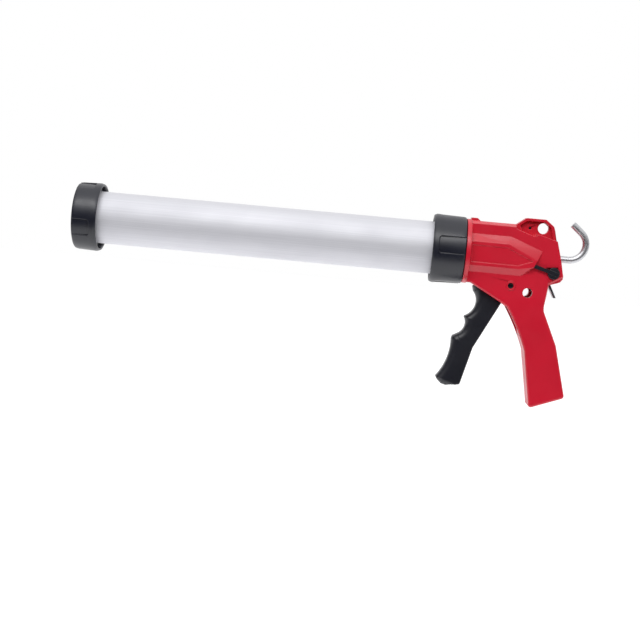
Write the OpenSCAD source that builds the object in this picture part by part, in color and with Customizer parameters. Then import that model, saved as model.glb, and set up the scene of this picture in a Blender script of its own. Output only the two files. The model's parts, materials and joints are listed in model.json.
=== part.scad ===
// Sachet caulking gun: aluminium barrel, screw caps, moulded housing, trigger drive and hooked push rod.
// The origin is the centre of the front cap's front face, on the barrel's axis.
// +X runs along the barrel to the handle, +Z is up, and +Y is the gun's right-hand side.

/* [Barrel] */
// Outside diameter of the barrel tube
barrel_d = 53; // [52:0.5:54]
// Wall thickness of the barrel tube
barrel_wall = 1.5; // [1:0.25:2]
// Distance from the front cap's face to the housing's flange
flange_x = 396; // [300:1:420]

/* [Screw caps] */
// Largest outside diameter of the front cap and the rear collar
cap_d = 69.6; // [69:0.2:71]
// Length of the front cap
cap_len = 25; // [23:0.5:27]
// Length of the rear collar
collar_len = 32.5; // [31:0.5:33.5]
// Diameter of the nozzle opening in the front cap
nozzle_opening_d = 42; // [36:1:44]

/* [Push rod] */
// Diameter of the push rod
rod_d = 7; // [6:0.5:7.5]
// Radius of the hook's bend, at the middle of the rod
hook_r = 16; // [14:0.5:18]
// Angle at which the hook's bend ends, from straight back
hook_end = 50; // [40:5:60]
// Length of the hook's straight tip
hook_tip = 12; // [8:1:16]

/* [Housing] */
// Half of the housing's width at the mechanism
half_w = 18.5; // [18:0.25:19]
// Half of the handle's width at its foot
handle_half_w = 14.5; // [14:0.25:15.5]
// Wall thickness of the housing
wall = 3; // [2.5:0.25:3.5]
// How far the side panels stand out
panel_rise = 4.5; // [4:0.25:5]
// Radius of the round flange that the collar meets
flange_r = 32.5; // [32:0.25:33]
// Radius of the hanging hole in the lug
hang_hole_r = 5.4; // [4:0.2:5.6]
// Radius of the cross hole below the mechanism
cross_hole_r = 4.9; // [4:0.1:5]

/* [Trigger] */
// Width of the trigger
trigger_w = 21; // [19:0.5:22]
// Radius of the pivot pin
pivot_pin_r = 3; // [2.5:0.25:3.25]
// Distance from the pivot to the pin that pushes the drive plate
nose_arm = 20; // [19:0.5:21]

/* [Hidden] */
$fn = 96;

// Gaps between pieces
running_gap = 0.06;
bonded_gap = 0.05;
skin = 0.02;

// Barrel group
barrel_r = barrel_d / 2;
bore_r = barrel_r - barrel_wall;
thread_r = 30.6;
cap_r = cap_d / 2;
cap_inner_r = thread_r + 0.5;
barrel_front = 6.2;
barrel_rear = flange_x - 1.5;
collar_front = flange_x - 0.8 - collar_len;
collar_rear = flange_x - 0.8;
lip_front = collar_front + 4;
lip_rear = lip_front + 3;
washer_t = 2;
stop_front = lip_rear + washer_t + 0.4;
stop_rear = stop_front + 5;

// Push rod and mechanism stations along the axis
rod_r = rod_d / 2;
rod_front = 18.5;
hook_x = 501.5;
hub_rear = flange_x + 16;
pivot = [444.5, -30.6];
swing = 34;
nose_r = 2.5;
nose_angle = swing / 2;
nose_at = pivot + nose_arm * [sin(nose_angle), cos(nose_angle)];
drive_t = 4;
drive_rear = nose_at[0] - nose_r - 0.05;
drive_front = drive_rear - drive_t;
release_at = [471.2, 15];
release_tilt = 10;
release_pin_half = 16.4;
selector_at = [485.5, -14.5];
selector_rest = 16;
selector_boss_r = 5.8;
cross_hole = [461.8, -36.2];
hang_hole = [472.8, 29.2];
locating_hole = [459.5, 28.8];

// Colours
RED = [0.78, 0.10, 0.14];
BLACK = [0.10, 0.11, 0.13];
ALU = [0.82, 0.83, 0.84];
STEEL = [0.66, 0.67, 0.68];
NYLON = [0.90, 0.89, 0.85];

// ---------- shared shapes ----------

// Turns a profile of [radius, x] points about the barrel's axis
module turned(points) {
    rotate([0, 90, 0])
        rotate_extrude()
            polygon(points);
}

// A plain ring or disc about the barrel's axis
module ring(inner, outer, x0, x1) {
    turned([[inner, x0], [outer, x0], [outer, x1], [inner, x1]]);
}

// Extrudes a side outline of [x, z] points from y0 to y1
module side_slab(y0, y1) {
    translate([0, y1, 0])
        rotate([90, 0, 0])
            linear_extrude(y1 - y0)
                children();
}

// Extrudes an end outline of [y, z] points from x0 to x1
module end_slab(x0, x1) {
    translate([x0, 0, 0])
        rotate([90, 0, 90])
            linear_extrude(x1 - x0)
                children();
}

// A round bar across the gun
module cross_bar(at, r, y0, y1) {
    translate([at[0], y1, at[1]])
        rotate([90, 0, 0])
            cylinder(r = r, h = y1 - y0);
}

// Points on an arc, with both ends
function arc(centre, r, a0, a1, steps) =
    [for (i = [0:steps]) centre + r * [cos(a0 + (a1 - a0) * i / steps), sin(a0 + (a1 - a0) * i / steps)]];

// ---------- screw caps ----------

grips = 4;
grip_width = 30;
grip_depth = 1.1;
grip_corner = 3;

// Cutter for the sunk grip panels, open at x_open and closed with round corners at x_closed
module grip_cuts(first_angle, x_open, x_closed, r) {
    floor_r = r - grip_depth;
    half = floor_r * sin(grip_width / 2);
    inward = x_closed > x_open ? -1 : 1;
    corner_x = x_closed + inward * grip_corner;
    outline = concat(
        [[-half, x_open], [half, x_open]],
        [for (a = [0:18:90]) [half - grip_corner * (1 - cos(a)), corner_x - inward * grip_corner * sin(a)]],
        [for (a = [90:-18:0]) [-half + grip_corner * (1 - cos(a)), corner_x - inward * grip_corner * sin(a)]]
    );
    difference() {
        for (i = [0:grips - 1])
            rotate([first_angle + 360 / grips * i, 0, 0])
                translate([0, 0, -r - 5])
                    linear_extrude(15)
                        polygon([for (p = outline) [p[1], p[0]]]);
        ring(0, floor_r, min(x_open, x_closed) - 1, max(x_open, x_closed) + 1);
    }
}

module front_cap() {
    lip = 3;
    color(BLACK)
        difference() {
            turned([
                [nozzle_opening_d / 2, 0], [cap_r - 2.3, 0], [cap_r - 1.2, 1], [cap_r - 0.7, 4],
                [cap_r - 0.1, cap_len - 3], [cap_r - 1.2, cap_len], [cap_inner_r + 0.9, cap_len],
                [cap_inner_r, cap_len - 2.5], [cap_inner_r, lip], [nozzle_opening_d / 2, lip]
            ]);
            grip_cuts(19.6, -1, cap_len - 7, cap_r - 0.6);
        }
}

module rear_collar() {
    color(BLACK)
        difference() {
            turned([
                [barrel_r + 0.6, lip_front], [thread_r, lip_front], [cap_inner_r + 0.9, collar_front],
                [cap_r - 1.2, collar_front], [cap_r, collar_front + 3], [cap_r - 0.7, collar_rear - 2],
                [cap_r - 1.5, collar_rear], [cap_inner_r, collar_rear], [cap_inner_r, lip_rear],
                [barrel_r + 0.6, lip_rear]
            ]);
            grip_cuts(-8.4, collar_rear + 1, collar_front + 6, cap_r - 0.4);
        }
}

// ---------- barrel group ----------

module barrel_tube() {
    color(ALU)
        ring(bore_r, barrel_r, barrel_front, barrel_rear);
}

module front_thread_sleeve() {
    color(BLACK)
        turned([
            [barrel_r + bonded_gap, barrel_front], [thread_r - 1, barrel_front], [thread_r, barrel_front + 1],
            [thread_r, cap_len - 5.5], [thread_r - 0.8, cap_len - 4.5], [barrel_r + bonded_gap, cap_len - 4.5]
        ]);
}

module barrel_stop_ring() {
    color(ALU)
        ring(barrel_r + bonded_gap, thread_r - 0.3, stop_front, stop_rear);
}

module slip_washer() {
    color(NYLON)
        ring(barrel_r + 0.4, thread_r - 0.2, stop_front - washer_t - skin, stop_front - skin);
}

module nozzle_washer() {
    color(ALU)
        ring(nozzle_opening_d / 2 + 0.5, thread_r - 0.4, 3.3, 5.6);
}

// ---------- barrel fixing and rod bushes ----------

module barrel_spigot() {
    seat = flange_x + 4;
    hub_r = 10;
    color(BLACK)
        turned([
            [6.05, flange_x + 0.5], [barrel_r + 0.3, flange_x + 0.5], [barrel_r + 0.3, stop_rear + 0.3],
            [thread_r - 0.8, stop_rear + 0.3], [thread_r, stop_rear + 1.3], [thread_r, flange_x - 2],
            [29, flange_x], [29, seat], [hub_r, seat], [hub_r, hub_rear], [6.05, hub_rear]
        ]);
}

module bush(x0, x1) {
    color(NYLON)
        ring(rod_r + running_gap, 6, x0, x1);
}

module front_bush() {
    bush(hub_rear - 12, hub_rear);
}

module rear_bush() {
    bush(483, 488.6);
}

// ---------- housing ----------

// Side outline of one housing half, clockwise from the flange's top
body_outline = concat(
    [[400, 28.3], [440, 28.3], [463.5, 20.5], [466.8, 23], [486.5, 17.6]],
    [[492, -1.6], [496, -19.5], [493.4, -23], [484, -26]],
    [[482.2, -27], [479.8, -49], [480.3, -53.5], [495.8, -86.5], [509.2, -136]],
    arc([506.3, -137.2], 3, 15, -65, 6),
    [[478, -151.4]],
    arc([477.2, -148.6], 2.9, 280, 170, 6),
    arc([276.5, -163.8], 200.5, 20, 33.7, 8),
    [[437.4, -48.9], [407, -32.6], [404, -31], [400, -31]]
);

lug_outline = [[444, 24], [444, 30], [455, 38.4], [474.6, 38.4], [483, 32], [484.5, 28], [487, 17.5], [462, 12]];
lug_web = [[449, 30.4], [456, 35.8], [473.6, 35.8], [480.2, 30.6], [484.4, 15], [456, 15]];

// Raised side panel: outer edge, crest and the sunk field
panel_edge = [[400.2, 18.4], [440, 18.4], [472.4, 6.3], [464.4, -11.5], [453, -19.8], [400.2, -19.8]];
panel_crest = [[400.2, 10.7], [437.5, 10.7], [468.2, -2.8], [464.9, -10.2], [450.5, -13], [400.2, -13]];
panel_field = [[402.5, 7], [437, 7], [463.2, -4.4], [449.5, -9.8], [402.5, -9.8]];

// Fixing screws, as [x, z, y of the head's seat]
screw_head_r = 3;
screw_head_h = 2;
screw_r = 1.6;
screw_len = 24;
screws = [[412, 22.6, 14], [482.5, 11.2, 14], [411, -23.8, 14], [469, -62, 13.4], [489, -132, 11.5]];

// Hollow for the drive and release plates
mechanism = [
    [404.5, 24.5], [439.5, 24.5], [463, 17], [470, 19.5], [483.5, 14.5],
    [487, 0], [489.8, -16], [487, -20.5], [478, -23.5], [471, -24], [464, -19], [404.5, -19]
];
// Slot that the trigger swings in, open below
trigger_slot = [
    [404.5, -18], [455, -18], [455, -40], [454.8, -56], [456.5, -70], [459, -80], [430, -80], [404.5, -50]
];
handle_hollow = [
    [454, -26.5], [470, -26.5], [472, -32], [475.5, -46], [476.6, -50], [477.2, -54], [492.6, -87], [505.4, -135], [478.8, -145.4], [476.6, -143],
    [468.2, -94.6], [462.5, -80], [459.5, -68], [454, -50]
];
// Lower rear corner of the body, whose outer edge is chamfered
lip_edge = [[482, -26.8], [484, -26.01], [493.4, -23.01], [498, -17], [500, -30]];
lip_chamfer = 2;

// The handle narrows from this height down to its foot
taper_top = -42;
taper_bottom = -152;

// The solid of one half, on the +Y side, before it is hollowed
module half_block() {
    difference() {
        side_slab(0, half_w) polygon(body_outline);
        translate([390, half_w, taper_top])
            rotate([-atan((half_w - handle_half_w) / (taper_top - taper_bottom)), 0, 0])
                translate([0, 0, taper_bottom - taper_top - 5])
                    cube([150, 20, taper_top - taper_bottom + 5]);
        // Chamfer along the lower rear corner
        hull() {
            side_slab(half_w - lip_chamfer, half_w) polygon(lip_edge);
            side_slab(half_w, half_w + 1) polygon([for (p = lip_edge) p + lip_chamfer * [-0.45, 0.9]]);
        }
    }
    // Roof over the mechanism
    end_slab(400, 444.5)
        polygon([[0, 20], [0, 31.2], [11, 31.2], [half_w, 28.3], [half_w, 20]]);
    // Key block behind the flange
    side_slab(0, 8)
        polygon([[400, 28], [400, 34], [406, 34], [409.2, 31.2], [409.2, 28]]);
    // Lug with its sunk web
    difference() {
        side_slab(0, 7) polygon(lug_outline);
        side_slab(3, 8) polygon(lug_web);
    }
    // Raised panel with bevelled edges and a sunk field
    difference() {
        hull() {
            side_slab(half_w - 1, half_w) polygon(panel_edge);
            side_slab(half_w + panel_rise - skin, half_w + panel_rise) polygon(panel_crest);
        }
        side_slab(half_w + panel_rise - 0.8, half_w + panel_rise + 1) polygon(panel_field);
    }
    // Round flange
    intersection() {
        ring(0, flange_r, flange_x, flange_x + 4.5);
        translate([flange_x - 1, 0, -40])
            cube([10, 40, 80]);
    }
}

// Everything that one half holds inside it
module half_hollow() {
    difference() {
        union() {
            side_slab(-1, half_w - wall - 1) polygon(mechanism);
            side_slab(-1, trigger_w / 2 + 1) polygon(trigger_slot);
            side_slab(-1, handle_half_w - wall) polygon(handle_hollow);
        }
        // Solid round the rear bush and each screw, and a rib behind the drive
        ring(0, 9, 481.5, 492);
        side_slab(-2, half_w) polygon([[455.6, 18], [458.2, 18], [458.2, -8], [455.6, -8]]);
        for (s = screws)
            cross_bar([s[0], s[1]], 3.6, -2, half_w);
        side_slab(-2, half_w) polygon([[400, 30], [407, 30], [407, -30], [400, -30]]);
    }
    // Seats for the spigot and both bushes
    ring(0, 29.1, flange_x - 1, flange_x + 4.1);
    ring(0, 10.1, flange_x, hub_rear + 2);
    ring(0, 6.05, 480, 488.7);
    ring(0, rod_r + 0.4, 480, 500);
    ring(0, rod_r + 0.6, 450, 460);
    // Slot for the release plate's tab, in the floor and the handle's back
    side_slab(-1, 7.5)
        polygon([[474, -16], [487.5, -16], [491, -30], [484, -47], [478, -46], [472.5, -30]]);
    // Pins
    cross_bar(pivot, pivot_pin_r + 0.05, -1, half_w + 1);
    cross_bar(release_at, 1.55, -1, release_pin_half + 0.2);
    cross_bar(locating_hole, 1.45, -1, 4);
    cross_bar(hang_hole, hang_hole_r, -1, 8);
    cross_bar(cross_hole, cross_hole_r, -1, half_w + 1);
}

module half_shell() {
    difference() {
        half_block();
        half_hollow();
    }
}

module right_housing() {
    color(RED)
        difference() {
            half_shell();
            cross_bar(pivot, 4.6, half_w - 1.6, half_w + 1);
            for (s = screws) {
                cross_bar([s[0], s[1]], screw_r + 0.15, -1, half_w + 5);
                cross_bar([s[0], s[1]], screw_head_r + 0.3, s[2], half_w + 5);
            }
        }
}

// The near half also carries the selector lever's seat
module left_housing() {
    color(RED)
        difference() {
            union() {
                mirror([0, 1, 0])
                    half_shell();
                // Raised ring round the pivot
                cross_bar(pivot, 4.8, -half_w - 0.4, -half_w + 1);
            }
            cross_bar(pivot, 3.3, -half_w - 1, -half_w + 1.2);
            for (s = screws)
                cross_bar([s[0], s[1]], screw_r + 0.05, s[2] - screw_len - 0.5, 1);
            // Through hole and sunk wedge for the lever's boss
            cross_bar(selector_at, selector_boss_r + 0.1, -half_w - 1, -half_w + wall + 2);
            side_slab(-half_w - 1, -half_w + 2.4)
                polygon([[477, -9.6], [489.4, -8.4], [490.6, -14], [485.5, -14]]);
            // Cleft in the panel's end for the lever's bar
            side_slab(-half_w - 3.4, -half_w)
                polygon([[462, -4], [475, -4], [475, -22], [462, -22]]);
        }
}

module housing_screws() {
    color(STEEL)
        for (s = screws) {
            difference() {
                cross_bar([s[0], s[1]], screw_head_r, s[2] + skin, s[2] + screw_head_h);
                cross_bar([s[0], s[1]], 1.2, s[2] + 1, s[2] + screw_head_h + 1);
            }
            cross_bar([s[0], s[1]], screw_r, s[2] - screw_len, s[2] + 2 * skin);
        }
}

module locating_pin() {
    color(STEEL)
        cross_bar(locating_hole, 1.4, -2.6, 2.6);
}

// ---------- trigger ----------

module pivot_pin() {
    color(BLACK)
        difference() {
            cross_bar(pivot, pivot_pin_r, -half_w + 1.2, half_w - 0.4);
            cross_bar(pivot, 1.5, -half_w, -half_w + 3);
        }
}

module pivot_clip() {
    color(STEEL)
        difference() {
            cross_bar(pivot, 4.4, half_w - 1.5, half_w - 0.7);
            cross_bar(pivot, pivot_pin_r + 0.05, half_w - 3, half_w + 1);
        }
}

trigger_outline = [
    [407.8, -35], [409, -39.4], [407.6, -62.2], [403.4, -63.8], [402.2, -66.8], [396, -84.9], [392.4, -86.8],
    [391.4, -89.6], [379, -129.5], [380.6, -132.4], [385, -136.6], [390, -138], [403.2, -135.6], [404.3, -134.2],
    [413.6, -97], [437.5, -49.5], [450, -37], [452.5, -31], [449, -22], [439, -22], [410.5, -33]
];

// Side outline with its three finger hollows
module trigger_side() {
    difference() {
        polygon(trigger_outline);
        translate([396.7, -50.4]) circle(r = 16.3);
        translate([392.1, -73.3]) circle(r = 12);
        translate([333.5, -94]) circle(r = 58);
    }
}

module trigger() {
    half = trigger_w / 2;
    color(BLACK)
        difference() {
            union() {
                side_slab(-half, half) trigger_side();
                cross_bar(pivot, 8, -half, half);
                // Forked arm that carries the nose pin on both sides of the rod
                hull() {
                    cross_bar(pivot, 7, -half, half);
                    cross_bar(nose_at, 4, -half, half);
                }
            }
            cross_bar(pivot, pivot_pin_r + 1.6, -half - 1, half + 1);
            cross_bar(nose_at, nose_r + 0.05, -half - 1, half + 1);
            // Slot between the fork's two cheeks
            side_slab(-8, 8)
                polygon([[438, -20.5], [462, -20.5], [462, 0], [438, 0]]);
        }
}

module trigger_bush() {
    color(NYLON)
        difference() {
            cross_bar(pivot, pivot_pin_r + 1.55, -trigger_w / 2 - 0.4, trigger_w / 2 + 0.4);
            cross_bar(pivot, pivot_pin_r + running_gap, -20, 20);
        }
}

module nose_pin() {
    color(STEEL)
        cross_bar(nose_at, nose_r, -trigger_w / 2 + 0.5, trigger_w / 2 - 0.5);
}

// ---------- drive ----------

// A steel plate with rounded corners and a hole for the rod
module plate(width, low, high, x0, x1, hole_r) {
    corner = 3;
    difference() {
        end_slab(x0, x1)
            difference() {
                translate([-width / 2, low]) square([width, high - low]);
                for (side = [-1, 1])
                    for (end = [low, high])
                        translate([side * width / 2, end])
                            rotate(45)
                                square(corner, center = true);
            }
        ring(0, hole_r, x0 - 1, x1 + 1);
    }
}

module drive_plate() {
    color(STEEL)
        plate(15.2, -15.5, 13, drive_front, drive_rear, rod_r + 0.3);
}

// A compression spring about the rod
function coil_ring(x, a, r, wire, sides) =
    [for (k = [0:sides - 1])
        let (q = 360 * k / sides)
        [x + wire * sin(q), (r + wire * cos(q)) * cos(a), (r + wire * cos(q)) * sin(a)]];

module coil(x0, x1, r, wire, turns) {
    sides = 6;
    per_turn = 18;
    steps = turns * per_turn;
    points = [for (i = [0:steps])
        each coil_ring(x0 + wire + (x1 - x0 - 2 * wire) * i / steps, 360 * i / per_turn, r, wire, sides)];
    walls = [for (i = [0:steps - 1])
        for (k = [0:sides - 1])
            let (a = i * sides + k, b = i * sides + (k + 1) % sides)
            each [[a, b, b + sides], [a, b + sides, a + sides]]];
    first = [for (k = [sides - 1:-1:0]) k];
    last = [for (k = [0:sides - 1]) steps * sides + k];
    polyhedron(points, concat(walls, [first, last]));
}

module return_spring() {
    color(STEEL)
        coil(hub_rear + 1.6, drive_front - 0.3, 6.4, 0.8, 7);
}

module spring_washer() {
    color(STEEL)
        ring(rod_r + 0.4, 9.5, hub_rear + 0.1, hub_rear + 1.3);
}

// ---------- release and selector ----------

release_t = 2.5;
release_knee = -12;
tab_tilt = 28;

module release_plate() {
    back = release_t / 2;
    knee = release_at + [tan(release_tilt) * (release_at[1] - release_knee), release_knee - release_at[1]];
    foot = [knee[0] + tan(tab_tilt) * 28, -40];
    color(STEEL)
        difference() {
            union() {
                side_slab(-10, 10)
                    polygon([
                        release_at - [back, 1], release_at + [back, -1], knee + [back + 0.2, -0.3],
                        knee - [back, 0]
                    ]);
                side_slab(-5.5, 5.5)
                    polygon([
                        knee - [back, 0], knee + [back, 1], foot + [back + 0.1, 0.6], foot - [back, -0.4]
                    ]);
                cross_bar(release_at, 3, -10, 10);
            }
            cross_bar(release_at, 1.62, -11, 11);
            ring(0, rod_r + 0.6, 460, 485);
        }
}

module release_pin() {
    color(STEEL)
        cross_bar(release_at, 1.5, -release_pin_half, release_pin_half);
}

module release_spring() {
    color(STEEL)
        coil(458.4, 471.2, 5.6, 0.6, 5);
}

module selector_lever() {
    bar_h = 3.7;
    tip = selector_at + 21 * [-cos(selector_rest), sin(selector_rest)];
    across = bar_h / 2 * [sin(selector_rest), cos(selector_rest)];
    heel = selector_at - 5.5 * [-cos(selector_rest), sin(selector_rest)];
    outer = -half_w - 3;
    color(BLACK) {
        cross_bar(selector_at, selector_boss_r, outer + 0.6, -half_w + 4);
        side_slab(outer, -half_w - 0.4)
            polygon([heel + across, tip + across, tip - across, heel - across]);
        // Shaft with the small finger that reaches for the release plate
        cross_bar(selector_at, 3, -half_w + 3.9, -2);
        side_slab(-8, -2)
            polygon([selector_at + [-1.3, 0], selector_at + [-1.3, 4.6], selector_at + [1.3, 4.6], selector_at + [1.3, 0]]);
    }
}

// ---------- push rod ----------

// The bend is a hair thinner than the straights and runs a little way into both
module push_rod() {
    centre = [hook_x, hook_r];
    bend_end = centre + hook_r * [cos(hook_end), sin(hook_end)];
    lap = 0.2;
    color(STEEL) {
        turned([[0, rod_front], [rod_r - 0.8, rod_front], [rod_r, rod_front + 0.8], [rod_r, hook_x + lap], [0, hook_x + lap]]);
        translate([centre[0], 0, centre[1]])
            rotate([90, 0, 0])
                rotate([0, 0, -90])
                    rotate_extrude(angle = 90 + hook_end)
                        translate([hook_r, 0])
                            circle(r = rod_r - 0.01);
        translate([bend_end[0], 0, bend_end[1]])
            rotate([0, -hook_end, 0])
                translate([0, 0, -lap])
                    cylinder(r = rod_r, h = hook_tip + lap);
    }
}

piston_front = 27.5;

module piston_disc() {
    color(NYLON)
        turned([
            [rod_r + bonded_gap, piston_front], [bore_r - 3, piston_front], [bore_r - 1.2, piston_front + 2],
            [bore_r - 1.2, piston_front + 3.4], [bore_r - 3, piston_front + 3.4], [bore_r - 3, piston_front + 6.8],
            [bore_r - 0.6, piston_front + 6.8], [bore_r - 0.6, piston_front + 14], [bore_r - 3, piston_front + 14],
            [bore_r - 5, piston_front + 8.5], [rod_r + bonded_gap, piston_front + 8.5]
        ]);
}

module piston_seal() {
    color(BLACK)
        turned([
            [bore_r - 2.95, piston_front + 3.5], [bore_r - 1, piston_front + 3.5], [bore_r - 0.4, piston_front + 4.4],
            [bore_r - 0.4, piston_front + 5.8], [bore_r - 1, piston_front + 6.7], [bore_r - 2.95, piston_front + 6.7]
        ]);
}

module piston_washers() {
    color(STEEL) {
        ring(rod_r + bonded_gap, 12, piston_front - 1.6, piston_front - skin);
        ring(rod_r + bonded_gap, 12, piston_front + 8.5 + skin, piston_front + 10.1);
    }
}

module piston_nut() {
    nut_af = 11;
    color(STEEL)
        difference() {
            translate([piston_front - 7.1, 0, 0])
                rotate([0, 90, 0])
                    cylinder(r = nut_af / sqrt(3), h = 5.4, $fn = 6);
            ring(0, rod_r + bonded_gap, 0, 40);
        }
}

module rod_clip() {
    color(STEEL)
        ring(rod_r + bonded_gap, 6, piston_front + 10.2, piston_front + 11.4);
}

barrel_tube();
front_thread_sleeve();
barrel_stop_ring();
slip_washer();
nozzle_washer();
front_cap();
rear_collar();
barrel_spigot();
front_bush();
rear_bush();
left_housing();
right_housing();
housing_screws();
locating_pin();
pivot_pin();
pivot_clip();
trigger();
trigger_bush();
nose_pin();
drive_plate();
return_spring();
spring_washer();
release_plate();
release_pin();
release_spring();
selector_lever();
push_rod();
piston_disc();
piston_seal();
piston_washers();
piston_nut();
rod_clip();
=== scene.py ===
"""Sachet caulking gun: satin aluminium barrel, black screw caps, red moulded housing and a hooked steel rod.
Lengths are in metres in the frame of the CAD model; sizes called _mm are in millimetres."""

import json
import math

import bmesh
import bpy
import numpy as np
from mathutils import Matrix, Vector


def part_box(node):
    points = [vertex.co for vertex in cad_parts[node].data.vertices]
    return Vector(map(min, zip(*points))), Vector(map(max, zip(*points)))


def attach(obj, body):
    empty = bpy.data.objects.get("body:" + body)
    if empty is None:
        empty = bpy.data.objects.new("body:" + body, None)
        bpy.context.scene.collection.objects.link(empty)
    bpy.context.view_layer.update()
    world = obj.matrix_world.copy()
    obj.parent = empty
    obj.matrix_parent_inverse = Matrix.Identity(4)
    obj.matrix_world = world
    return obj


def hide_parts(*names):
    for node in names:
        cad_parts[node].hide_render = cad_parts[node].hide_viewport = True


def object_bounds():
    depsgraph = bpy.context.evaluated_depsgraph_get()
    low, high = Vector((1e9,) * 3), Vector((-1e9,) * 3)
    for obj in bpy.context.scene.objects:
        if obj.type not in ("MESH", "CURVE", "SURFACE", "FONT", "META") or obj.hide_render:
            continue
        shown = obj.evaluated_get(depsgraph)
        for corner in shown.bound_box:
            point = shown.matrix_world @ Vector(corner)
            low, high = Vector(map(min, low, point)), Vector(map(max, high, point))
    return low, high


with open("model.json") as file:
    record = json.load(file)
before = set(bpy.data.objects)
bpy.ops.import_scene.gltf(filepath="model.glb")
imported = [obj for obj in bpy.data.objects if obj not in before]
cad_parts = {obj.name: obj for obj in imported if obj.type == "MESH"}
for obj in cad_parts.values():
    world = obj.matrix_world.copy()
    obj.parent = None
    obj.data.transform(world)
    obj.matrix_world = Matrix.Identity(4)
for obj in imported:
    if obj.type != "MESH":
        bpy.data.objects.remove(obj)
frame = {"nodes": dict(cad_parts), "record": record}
nodes = frame["nodes"]
cad_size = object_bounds()


# ---------- the studio ----------
# A pale sweep of painted board far below the gun, lit by a wide overhead softbox, a front fill set high in front
# and white walls. The side that the camera stands on is a darker room.

FLOOR_DROP = 0.55
FLOOR_HALF = 14.0
FLOOR_FRONT = -0.9


def srgb(text):
    """Turns an sRGB hex colour to linear red, green, blue and full alpha."""
    channels = [int(text[i:i + 2], 16) / 255 for i in (1, 3, 5)]
    return tuple(c / 12.92 if c <= 0.04045 else ((c + 0.055) / 1.055) ** 2.4 for c in channels) + (1.0,)


def add(tree, kind, inputs=None, **settings):
    """Adds a node, makes its settings, and fills or links its inputs by name or number."""
    node = tree.nodes.new(kind)
    for key, value in settings.items():
        setattr(node, key, value)
    for key, value in (inputs or {}).items():
        if isinstance(value, bpy.types.NodeSocket):
            tree.links.new(value, node.inputs[key])
        else:
            node.inputs[key].default_value = value
    return node


def ramp(tree, factor, stops):
    """Adds a colour ramp with [(place, colour)] stops and gives its colour output."""
    node = add(tree, "ShaderNodeValToRGB", {"Fac": factor})
    bar = node.color_ramp
    while len(bar.elements) < len(stops):
        bar.elements.new(0.5)
    for element, (place, colour) in zip(bar.elements, stops):
        element.position = place
        element.color = colour
    return node.outputs["Color"]


def blank_material(name):
    """A new node material with its shader; gives the material, its tree and the shader."""
    material = bpy.data.materials.new(name)
    material.use_nodes = True
    tree = material.node_tree
    tree.nodes.clear()
    shader = add(tree, "ShaderNodeBsdfPrincipled")
    add(tree, "ShaderNodeOutputMaterial", {"Surface": shader.outputs["BSDF"]})
    return material, tree, shader


scene = bpy.context.scene
scene.view_settings.view_transform = "Standard"
scene.view_settings.look = "None"

low, high = cad_size
floor_mesh = bpy.data.meshes.new("studio_floor")
floor_z = low[2] - FLOOR_DROP
floor_mesh.from_pydata(
    [(x, y, floor_z) for x, y in
     ((-FLOOR_HALF, FLOOR_FRONT), (FLOOR_HALF, FLOOR_FRONT), (FLOOR_HALF, FLOOR_HALF), (-FLOOR_HALF, FLOOR_HALF))],
    [], [(0, 1, 2, 3)])
floor = bpy.data.objects.new("studio_floor", floor_mesh)
scene.collection.objects.link(floor)

# Matt white paint: even, with hardly any mottle
white_paint, tree, shader = blank_material("matt_white_studio_paint")
mottle = add(tree, "ShaderNodeTexNoise", {"Scale": 3.0, "Detail": 3.0})
paint_colour = ramp(tree, mottle.outputs["Fac"], [(0.3, srgb("#F9F9FA")), (0.7, srgb("#FEFEFE"))])
tree.links.new(paint_colour, shader.inputs["Base Color"])
shader.inputs["Roughness"].default_value = 0.9
shader.inputs["Emission Color"].default_value = srgb("#FFFFFF")
shader.inputs["Emission Strength"].default_value = 0.38
floor_mesh.materials.append(white_paint)

# The walls: white behind and overhead, darker on the camera's side and grey past the nozzle's end
world = bpy.data.worlds.new("studio_walls")
scene.world = world
world.use_nodes = True
tree = world.node_tree
tree.nodes.clear()
place = add(tree, "ShaderNodeTexCoord")
axes = add(tree, "ShaderNodeSeparateXYZ", {"Vector": place.outputs["Generated"]})


def wall_tones(axis, stops):
    """Grades the walls along an axis, from its negative end at 0 to its positive end at 1."""
    along = add(tree, "ShaderNodeMapRange", {"Value": axes.outputs[axis], "From Min": -1.0, "From Max": 1.0})
    return ramp(tree, along.outputs["Result"], [(stop, srgb(tone)) for stop, tone in stops])


front = wall_tones("Y", [(0.0, "#1C1C20"), (0.25, "#3A3A40"), (0.5, "#A8A8AE"), (0.8, "#FFFFFF")])
height = wall_tones("Z", [(0.58, "#000000"), (0.74, "#FFFFFF")])
nozzle_end = wall_tones("X", [(0.1, "#6A6A70"), (0.27, "#FFFFFF")])
walls = add(tree, "ShaderNodeMix", {0: height, 6: front, 7: srgb("#FFFFFF")}, data_type="RGBA")
shaded = add(tree, "ShaderNodeMix", {0: 1.0, 6: walls.outputs[2], 7: nozzle_end},
             data_type="RGBA", blend_type="MULTIPLY")
glow = add(tree, "ShaderNodeBackground", {"Color": shaded.outputs[2], "Strength": 1.0})
add(tree, "ShaderNodeOutputWorld", {"Surface": glow.outputs["Background"]})


def softbox(name, middle, target, width, depth, power):
    """A rectangular area lamp at middle that faces target."""
    lamp = bpy.data.lights.new(name, "AREA")
    lamp.shape = "RECTANGLE"
    lamp.size = width
    lamp.size_y = depth
    lamp.energy = power
    holder = bpy.data.objects.new(name, lamp)
    holder.location = middle
    holder.rotation_euler = (Vector(target) - Vector(middle)).to_track_quat("-Z", "Y").to_euler()
    scene.collection.objects.link(holder)


centre = (Vector(low) + Vector(high)) / 2
softbox("overhead_softbox", centre + Vector((0.0, -0.25, 1.05)), centre, 1.6, 0.7, 1.0)
softbox("front_fill", centre + Vector((-0.2, -0.95, 0.95)), centre, 1.5, 0.5, 10.5)


# ---------- the camera ----------
# A 70 mm lens, 1.27 m from the flange and a little above the gun, turned and rolled so that the barrel slopes
# down to the handle.

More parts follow.
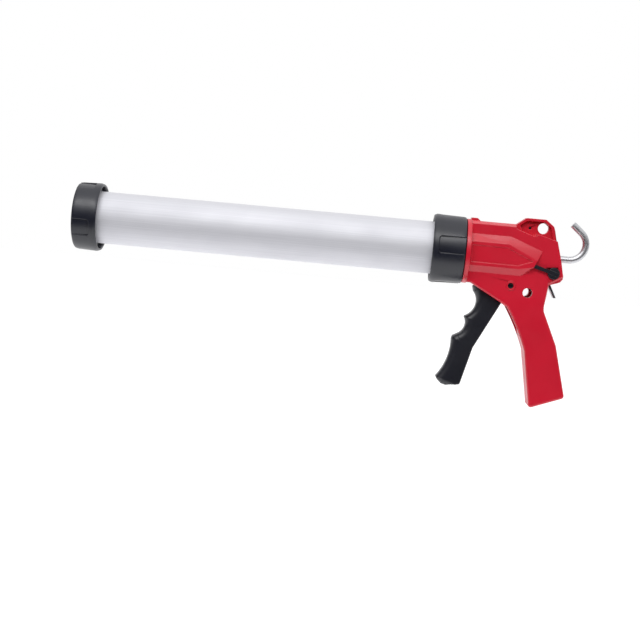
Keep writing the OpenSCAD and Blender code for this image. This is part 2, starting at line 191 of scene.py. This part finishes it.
LENS_MM = 70.2
YAW, ELEVATION, ROLL = (math.radians(a) for a in (-2.093, 4.6, 5.202))
# From the lens to the flange's centre, along the camera's own right, forward and down
TO_FLANGE = Vector((0.14626, 1.26644, 0.07045))
flange_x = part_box("left_housing")[0][0]
turn = Matrix.Rotation(YAW, 3, "Z")
tip = Matrix.Rotation(ELEVATION, 3, "X")
roll = Matrix.Rotation(ROLL, 3, "Y")
view = roll @ tip @ turn
camera_data = bpy.data.cameras.new("camera")
camera_data.lens = LENS_MM
camera_data.sensor_width = 36.0
camera_data.clip_start = 0.05
camera_data.clip_end = 60.0
camera = bpy.data.objects.new("camera", camera_data)
axes_of_camera = Matrix((view[0], view[2], -view[1])).transposed()
camera.matrix_world = Matrix.Translation(
    Vector((flange_x, 0, 0)) - view.transposed() @ TO_FLANGE) @ axes_of_camera.to_4x4()
scene.collection.objects.link(camera)
scene.camera = camera


# ---------- barrel tube ----------
# Extruded 6063 aluminium tube, 53 mm across with a 1.5 mm wall, drawn, sawn to length and satin anodised.
# Both ends are deburred, so they carry a small bright chamfer.

MM = 0.001
BARREL_EDGE_MM = 0.3
DRAWING_LINE_MM = 0.5
LINE_DEPTH_MM = 0.1


SHARP = math.radians(28)


def soften(node, edge_mm):
    """Rounds a CAD piece's sharp edges, with its own mesh left as it is underneath."""
    piece = nodes[node]
    join = piece.modifiers.new("joined corners", "WELD")
    join.merge_threshold = 2e-7
    edge = piece.modifiers.new("rounded edges", "BEVEL")
    edge.width = edge_mm * MM
    edge.segments = 3
    edge.limit_method = "ANGLE"
    edge.angle_limit = SHARP
    edge.use_clamp_overlap = False
    normals = piece.modifiers.new("even normals", "WEIGHTED_NORMAL")
    normals.keep_sharp = False
    normals.weight = 60


def dress(node, material):
    """Gives a CAD piece or a new piece its finish."""
    piece = nodes[node] if isinstance(node, str) else node
    if piece.data.materials:
        piece.data.materials[0] = material
    else:
        piece.data.materials.append(material)


# Satin anodised aluminium: a soft silver sheen with fine lengthwise drawing lines, brightest along the top.
# The lines are really about 0.05 mm apart and are drawn at 0.5 mm so that they show.
satin_aluminium, tree, shader = blank_material("satin_anodised_aluminium")
place = add(tree, "ShaderNodeTexCoord")
stretch = add(tree, "ShaderNodeMapping", {"Vector": place.outputs["Object"], "Scale": (
    6.0, 1000.0 / DRAWING_LINE_MM, 1000.0 / DRAWING_LINE_MM)})
lines = add(tree, "ShaderNodeTexNoise", {"Vector": stretch.outputs["Vector"], "Scale": 1.0, "Detail": 4.0,
                                         "Roughness": 0.6})
cloud = add(tree, "ShaderNodeTexNoise", {"Vector": place.outputs["Object"], "Scale": 28.0, "Detail": 3.0})
tone = ramp(tree, lines.outputs["Fac"], [(0.25, srgb("#D6D6DB")), (0.75, srgb("#E4E4E8"))])
tree.links.new(tone, shader.inputs["Base Color"])
shader.inputs["Metallic"].default_value = 1.0
dull = add(tree, "ShaderNodeMapRange", {"Value": cloud.outputs["Fac"], "From Min": 0.3, "From Max": 0.7,
                                        "To Min": 0.72, "To Max": 0.78})
tree.links.new(dull.outputs["Result"], shader.inputs["Roughness"])
ridges = add(tree, "ShaderNodeBump", {"Height": lines.outputs["Fac"], "Strength": 0.12,
                                      "Distance": LINE_DEPTH_MM * MM})
tree.links.new(ridges.outputs["Normal"], shader.inputs["Normal"])

soften("barrel_tube", BARREL_EDGE_MM)
dress("barrel_tube", satin_aluminium)


# ---------- screw caps ----------
# The front cap and the rear collar are injection moulded in black glass-filled nylon, with four sunk grip
# panels each, a chamfered rim and an internal thread.

CAP_EDGE_MM = 0.5


def moulded_nylon(name, pale, deep, rough, grain_mm, grain_height_mm, coat):
    """Moulded nylon: two close tones in soft clouds, a spark-eroded grain and a thin gloss from the mould."""
    material, tree, shader = blank_material(name)
    place = add(tree, "ShaderNodeTexCoord")
    cloud = add(tree, "ShaderNodeTexNoise", {"Vector": place.outputs["Object"], "Scale": 22.0, "Detail": 4.0,
                                             "Roughness": 0.55})
    tree.links.new(ramp(tree, cloud.outputs["Fac"], [(0.3, srgb(deep)), (0.7, srgb(pale))]),
                   shader.inputs["Base Color"])
    grain = add(tree, "ShaderNodeTexNoise", {"Vector": place.outputs["Object"], "Scale": 1000.0 / grain_mm,
                                             "Detail": 2.0, "Roughness": 0.5})
    flow = add(tree, "ShaderNodeTexNoise", {"Vector": place.outputs["Object"], "Scale": 60.0, "Detail": 2.0})
    both = add(tree, "ShaderNodeMath", {0: grain.outputs["Fac"], 1: flow.outputs["Fac"]}, operation="ADD")
    dull = add(tree, "ShaderNodeMapRange", {"Value": both.outputs["Value"], "From Min": 0.6, "From Max": 1.4,
                                            "To Min": rough - 0.05, "To Max": rough + 0.07})
    tree.links.new(dull.outputs["Result"], shader.inputs["Roughness"])
    bumps = add(tree, "ShaderNodeBump", {"Height": grain.outputs["Fac"], "Strength": 0.35,
                                         "Distance": grain_height_mm * MM})
    tree.links.new(bumps.outputs["Normal"], shader.inputs["Normal"])
    shader.inputs["IOR"].default_value = 1.53
    shader.inputs["Coat Weight"].default_value = coat
    shader.inputs["Coat Roughness"].default_value = 0.22
    return material


# Black glass-filled nylon: a blue-grey charcoal with a broad soft sheen. Its grain is 0.6 mm.
black_nylon = moulded_nylon("black_glass_filled_nylon", "#151725", "#10121D", 0.37, 0.6, 0.03, 0.1)

for node in ("front_cap", "rear_collar"):
    soften(node, CAP_EDGE_MM)
    dress(node, black_nylon)


# ---------- thread sleeve, stop ring and washers on the barrel ----------
# The front sleeve is moulded nylon, bonded on the tube. The stop ring is turned aluminium, and a slip washer of
# acetal lets the collar turn against it. A turned aluminium washer closes the sachet's end inside the cap.

dress("front_thread_sleeve", black_nylon)
soften("front_thread_sleeve", 0.3)

# Turned aluminium: fine rings left by the tool, drawn at 0.3 mm
turned_aluminium, tree, shader = blank_material("turned_aluminium")
place = add(tree, "ShaderNodeTexCoord")
rings = add(tree, "ShaderNodeTexWave", {"Vector": place.outputs["Object"], "Scale": 500.0, "Distortion": 0.3,
                                        "Detail": 1.0}, wave_type="RINGS", rings_direction="X")
tree.links.new(ramp(tree, rings.outputs["Fac"], [(0.0, srgb("#C4C5C8")), (1.0, srgb("#DADBDD"))]),
               shader.inputs["Base Color"])
shader.inputs["Metallic"].default_value = 1.0
shader.inputs["Roughness"].default_value = 0.3
cuts = add(tree, "ShaderNodeBump", {"Height": rings.outputs["Fac"], "Strength": 0.2, "Distance": 0.00005})
tree.links.new(cuts.outputs["Normal"], shader.inputs["Normal"])
for node in ("barrel_stop_ring", "nozzle_washer"):
    soften(node, 0.25)
    dress(node, turned_aluminium)

# Natural acetal: milky off-white, waxy and smooth
natural_acetal = moulded_nylon("natural_acetal", "#E9E7DF", "#DDDACF", 0.34, 0.8, 0.01, 0.1)
natural_acetal.node_tree.nodes["Principled BSDF"].inputs["Subsurface Weight"].default_value = 0.1
soften("slip_washer", 0.25)
dress("slip_washer", natural_acetal)


# ---------- barrel fixing and rod bushes ----------
# A black nylon spigot with an outside thread is keyed between the two housing halves, and carries the barrel.
# Two acetal bushes guide the rod.

soften("barrel_spigot", 0.3)
dress("barrel_spigot", black_nylon)
for node in ("front_bush", "rear_bush"):
    soften(node, 0.2)
    dress(node, natural_acetal)


# ---------- housing ----------
# Two halves injection moulded in red glass-filled nylon, with crisp bevelled panels, joined by five screws
# from the right-hand side.

HOUSING_EDGE_MM = 0.5
HANDLE_ROUND_MM = 2.4
HANDLE_CUT_MM = 1.3
KEEP_CLEAR_MM = 8.5
UNDERSIDE_Z_MM = -29.5
BACK_X_MM = 491.5
BACK_TOP_Z_MM = 16
OUTER_SIDE_Y_MM = 13.5
SELECTOR_BOSS_MM = (9, 0, 2)


def sharp_edges(mesh, wanted):
    """Ends and both face normals of the mesh's square convex edges that wanted(middle, normals) accepts."""
    found = []
    for edge in mesh.edges:
        if len(edge.link_faces) != 2 or not edge.is_convex:
            continue
        one, other = (face.normal.copy() for face in edge.link_faces)
        middle = (edge.verts[0].co + edge.verts[1].co) / 2
        if one.angle(other, 0.0) > 1.05 and wanted(middle, one, other):
            found.append([*edge.verts[0].co, *edge.verts[1].co, *one, *other])
    return np.array(found).reshape(-1, 12)


def nearest(points, edges):
    """Distance and place of the nearest edge to each point."""
    start, run = edges[:, 0:3], edges[:, 3:6] - edges[:, 0:3]
    reach = (run ** 2).sum(1) + 1e-18
    best = np.full(len(points), 9.0)
    which = np.zeros(len(points), int)
    for i in range(len(edges)):
        along = np.clip(((points - start[i]) @ run[i]) / reach[i], 0.0, 1.0)
        gap = np.linalg.norm(points - start[i] - along[:, None] * run[i], axis=1)
        closer = gap < best
        best[closer] = gap[closer]
        which[closer] = i
    return best, which


# A square corner's faces are worked out to just over the square root of 2 radii from its edge
CORNER_REACH = 1.42


def round_over(mesh, radius, fine, wanted):
    """Rounds the edges that wanted() picks to a true radius, and marks the corners it worked near.
    It first cuts the faces near the edges finely, then presses the square corner's points onto an arc."""
    edges = sharp_edges(mesh, wanted)
    worked = mesh.verts.layers.float.get("worked")
    for _ in range(12):
        ends = np.array([[*e.verts[0].co, *e.verts[1].co] for e in mesh.edges])
        span = np.linalg.norm(ends[:, 3:] - ends[:, :3], axis=1)
        middle = (ends[:, 3:] + ends[:, :3]) / 2
        gap, _where = nearest(middle, edges)
        long_ones = [e for e, far, size in zip(list(mesh.edges), gap, span)
                     if size > fine and far < radius * 1.3 + size / 2]
        if not long_ones:
            break
        bmesh.ops.subdivide_edges(mesh, edges=long_ones, cuts=1)
        bmesh.ops.triangulate(mesh, faces=[f for f in mesh.faces if len(f.verts) > 3], ngon_method="BEAUTY")
    corners = list(mesh.verts)
    points = np.array([v.co for v in corners], float)
    gap, which = nearest(points, edges)
    chosen = edges[which]
    away = points - chosen[:, 0:3]
    first, second = chosen[:, 6:9], chosen[:, 9:12]
    depth = np.stack([-(away * first).sum(1), -(away * second).sum(1)], 1)
    near = (gap < radius * CORNER_REACH) & (depth.max(1) < radius) & (depth.min(1) > -1e-5)
    inward = radius - depth
    length = np.linalg.norm(inward, axis=1) + 1e-12
    scale = inward.max(1) / length
    moved = radius - inward * scale[:, None] - depth
    shift = -first * moved[:, :1] - second * moved[:, 1:]
    for corner, push, take, far in zip(corners, shift, near, gap):
        if take:
            corner.co += Vector(push)
        if far < radius * 1.6:
            corner[worked] = 1.0


LEVEL = math.radians(2.5)


def worked_copy(node, name, body, work):
    """A copy of a CAD piece's mesh, shaped further by work(bmesh), that stands for it on its body.
    Sharp edges away from the worked ones are marked for soften_marked(), and plane faces are shaded flat."""
    mesh = bmesh.new()
    mesh.from_mesh(nodes[node].data)
    bmesh.ops.remove_doubles(mesh, verts=mesh.verts, dist=2e-7)
    bmesh.ops.recalc_face_normals(mesh, faces=mesh.faces)
    mesh.verts.layers.float.new("worked")
    weight = mesh.edges.layers.float.new("bevel_weight_edge")
    mesh.normal_update()
    work(mesh)
    bmesh.ops.dissolve_degenerate(mesh, dist=2e-6, edges=mesh.edges)
    mesh.normal_update()
    worked = mesh.verts.layers.float.get("worked")
    for edge in mesh.edges:
        turn = edge.calc_face_angle(0.0)
        untouched = all(corner[worked] == 0.0 for corner in edge.verts)
        if untouched and turn > SHARP:
            edge[weight] = 1.0
    for face in mesh.faces:
        turns = [edge.calc_face_angle(0.0) for edge in face.edges]
        flat = all(turn < LEVEL or turn > SHARP for turn in turns)
        face.smooth = not (flat and all(corner[worked] == 0.0 for corner in face.verts))
    data = bpy.data.meshes.new(name)
    mesh.to_mesh(data)
    mesh.free()
    data.validate()
    piece = bpy.data.objects.new(name, data)
    scene.collection.objects.link(piece)
    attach(piece, body)
    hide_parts(node)
    return piece


def soften_marked(piece, edge_mm):
    """Rounds a worked copy's marked edges and closes the corners where they meet."""
    edge = piece.modifiers.new("rounded edges", "BEVEL")
    edge.width = edge_mm * MM
    edge.segments = 3
    edge.limit_method = "WEIGHT"
    edge.use_clamp_overlap = False
    piece.modifiers.new("closed corners", "WELD").merge_threshold = 4e-6


def middle_of(node):
    """The middle of a CAD piece's box."""
    lowest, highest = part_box(node)
    return (lowest + highest) / 2


# Where the outline keeps a plain edge: the pivot, the selector's boss, the bores and the screws
holes = [middle_of("pivot_pin"), middle_of("selector_lever") + Vector(SELECTOR_BOSS_MM) * MM]
holes += [Vector(m["pos_m"]) for m in frame["record"]["mounts"] if m["kind"] == "bore"]
screw_mesh = bmesh.new()
screw_mesh.from_mesh(nodes["housing_screws"].data)
holes += [v.co.copy() for v in screw_mesh.verts][::40]
screw_mesh.free()


def rim_face(one, other):
    """The normal that isn't the flank's, where an edge joins a flank to a face square to it; otherwise None."""
    flank, face = (one, other) if abs(one.y) > abs(other.y) else (other, one)
    return face if abs(flank.y) > 0.98 and abs(face.y) < 0.1 else None


def body_outline(middle, one, other):
    """True on the outer edges of the handle and of the body's underside and back."""
    x, y, z = (value / MM for value in middle)
    below = z < UNDERSIDE_Z_MM or (x > BACK_X_MM and z < BACK_TOP_Z_MM)
    clear = all(math.hypot(x - h.x / MM, z - h.z / MM) > KEEP_CLEAR_MM for h in holes)
    return rim_face(one, other) is not None and abs(y) > OUTER_SIDE_Y_MM and below and clear


def round_handle(mesh):
    """Gives the handle and the body's lower outline their full rounding."""
    round_over(mesh, HANDLE_ROUND_MM * MM, HANDLE_CUT_MM * MM, body_outline)


# Red glass-filled nylon: a strong pure red, semi-gloss, with a fine 0.5 mm spark grain
red_nylon = moulded_nylon("red_glass_filled_nylon", "#D2142F", "#C8112B", 0.36, 0.5, 0.02, 0.12)
for side in ("left", "right"):
    half = worked_copy(f"{side}_housing", f"{side}_half_moulding", "housing", round_handle)
    soften_marked(half, HOUSING_EDGE_MM)
    dress(half, red_nylon)

# Zinc-plated steel: cool and a little cloudy
zinc_steel, tree, shader = blank_material("zinc_plated_steel")
place = add(tree, "ShaderNodeTexCoord")
cloud = add(tree, "ShaderNodeTexNoise", {"Vector": place.outputs["Object"], "Scale": 160.0, "Detail": 5.0})
tree.links.new(ramp(tree, cloud.outputs["Fac"], [(0.3, srgb("#A9ACB0")), (0.7, srgb("#C6C8CB"))]),
               shader.inputs["Base Color"])
shader.inputs["Metallic"].default_value = 1.0
dull = add(tree, "ShaderNodeMapRange", {"Value": cloud.outputs["Fac"], "To Min": 0.24, "To Max": 0.42})
tree.links.new(dull.outputs["Result"], shader.inputs["Roughness"])
soften("housing_screws", 0.25)
dress("housing_screws", zinc_steel)

# Black oxide steel: near black, slightly brown, with a low metallic sheen
black_oxide, tree, shader = blank_material("black_oxide_steel")
place = add(tree, "ShaderNodeTexCoord")
cloud = add(tree, "ShaderNodeTexNoise", {"Vector": place.outputs["Object"], "Scale": 300.0, "Detail": 4.0})
tree.links.new(ramp(tree, cloud.outputs["Fac"], [(0.3, srgb("#26262A")), (0.7, srgb("#36363A"))]),
               shader.inputs["Base Color"])
shader.inputs["Metallic"].default_value = 0.8
shader.inputs["Roughness"].default_value = 0.42
for node in ("locating_pin", "pivot_pin"):
    soften(node, 0.25)
    dress(node, black_oxide)
soften("pivot_clip", 0.1)
dress("pivot_clip", zinc_steel)


# ---------- trigger ----------
# One moulding in black glass-filled nylon, with three finger hollows and a well rounded front.

TRIGGER_FRONT_MM = 6.5
TRIGGER_FRONT_CUT_MM = 1.1
TRIGGER_BACK_MM = 1.6
TRIGGER_BACK_CUT_MM = 0.8
HOUSING_MOUTH_Z_MM = -35.5


def trigger_front(middle, one, other):
    """True on the outer edges of the finger side and the foot, below the housing."""
    face = rim_face(one, other)
    return face is not None and middle.z < HOUSING_MOUTH_Z_MM * MM and face.x < 0.05 and face.z < 0.97


def trigger_back(middle, one, other):
    """True on the outer edges of the palm side."""
    face = rim_face(one, other)
    return face is not None and middle.z < HOUSING_MOUTH_Z_MM * MM and face.x >= 0.05


def round_trigger(mesh):
    """Rounds the finger side fully and the palm side a little."""
    round_over(mesh, TRIGGER_FRONT_MM * MM, TRIGGER_FRONT_CUT_MM * MM, trigger_front)
    round_over(mesh, TRIGGER_BACK_MM * MM, TRIGGER_BACK_CUT_MM * MM, trigger_back)


# Black trigger nylon: near black, with soft grey lights along its ridges
black_trigger = moulded_nylon("black_trigger_nylon", "#14151F", "#0F1018", 0.4, 0.5, 0.03, 0.1)
blade = worked_copy("trigger", "trigger_moulding", "trigger", round_trigger)
dress(blade, black_trigger)
soften("trigger_bush", 0.2)
dress("trigger_bush", natural_acetal)
soften("nose_pin", 0.3)
dress("nose_pin", zinc_steel)


# ---------- drive and release ----------
# Stamped zinc-plated plates that grip the rod, and wound spring steel wire.

# Spring steel: bright grey wire with a fine drawn surface
spring_steel, tree, shader = blank_material("drawn_spring_steel")
place = add(tree, "ShaderNodeTexCoord")
cloud = add(tree, "ShaderNodeTexNoise", {"Vector": place.outputs["Object"], "Scale": 500.0, "Detail": 3.0})
tree.links.new(ramp(tree, cloud.outputs["Fac"], [(0.3, srgb("#8C8D90")), (0.7, srgb("#A6A7AA"))]),
               shader.inputs["Base Color"])
shader.inputs["Metallic"].default_value = 1.0
shader.inputs["Roughness"].default_value = 0.3

for node in ("drive_plate", "spring_washer", "release_plate", "release_pin"):
    soften(node, 0.3)
    dress(node, zinc_steel)
for node in ("return_spring", "release_spring"):
    dress(node, spring_steel)
soften("selector_lever", 0.4)
dress("selector_lever", black_trigger)


# ---------- push rod and piston ----------
# A 7 mm bright drawn steel rod, zinc plated, bent to a hook at the back. A moulded piston with a rubber seal is
# clamped on its front end by a nut and two washers.

# Bright zinc on drawn steel: a pale grey with long soft streaks
rod_steel, tree, shader = blank_material("bright_zinc_plated_rod")
place = add(tree, "ShaderNodeTexCoord")
stretch = add(tree, "ShaderNodeMapping", {"Vector": place.outputs["Object"], "Scale": (40.0, 900.0, 900.0)})
streaks = add(tree, "ShaderNodeTexNoise", {"Vector": stretch.outputs["Vector"], "Scale": 1.0, "Detail": 4.0})
tree.links.new(ramp(tree, streaks.outputs["Fac"], [(0.3, srgb("#BEBFC2")), (0.7, srgb("#CBCCCF"))]),
               shader.inputs["Base Color"])
shader.inputs["Metallic"].default_value = 1.0
dull = add(tree, "ShaderNodeMapRange", {"Value": streaks.outputs["Fac"], "To Min": 0.38, "To Max": 0.46})
tree.links.new(dull.outputs["Result"], shader.inputs["Roughness"])
dress("push_rod", rod_steel)
dress("piston_disc", natural_acetal)
soften("piston_disc", 0.3)

# Nitrile rubber: matt black with a faint bloom
seal_rubber, tree, shader = blank_material("nitrile_rubber")
place = add(tree, "ShaderNodeTexCoord")
bloom = add(tree, "ShaderNodeTexNoise", {"Vector": place.outputs["Object"], "Scale": 120.0, "Detail": 4.0})
tree.links.new(ramp(tree, bloom.outputs["Fac"], [(0.3, srgb("#1A1A1B")), (0.7, srgb("#252526"))]),
               shader.inputs["Base Color"])
shader.inputs["Roughness"].default_value = 0.7
dress("piston_seal", seal_rubber)
for node in ("piston_washers", "piston_nut", "rod_clip"):
    soften(node, 0.2)
    dress(node, zinc_steel)
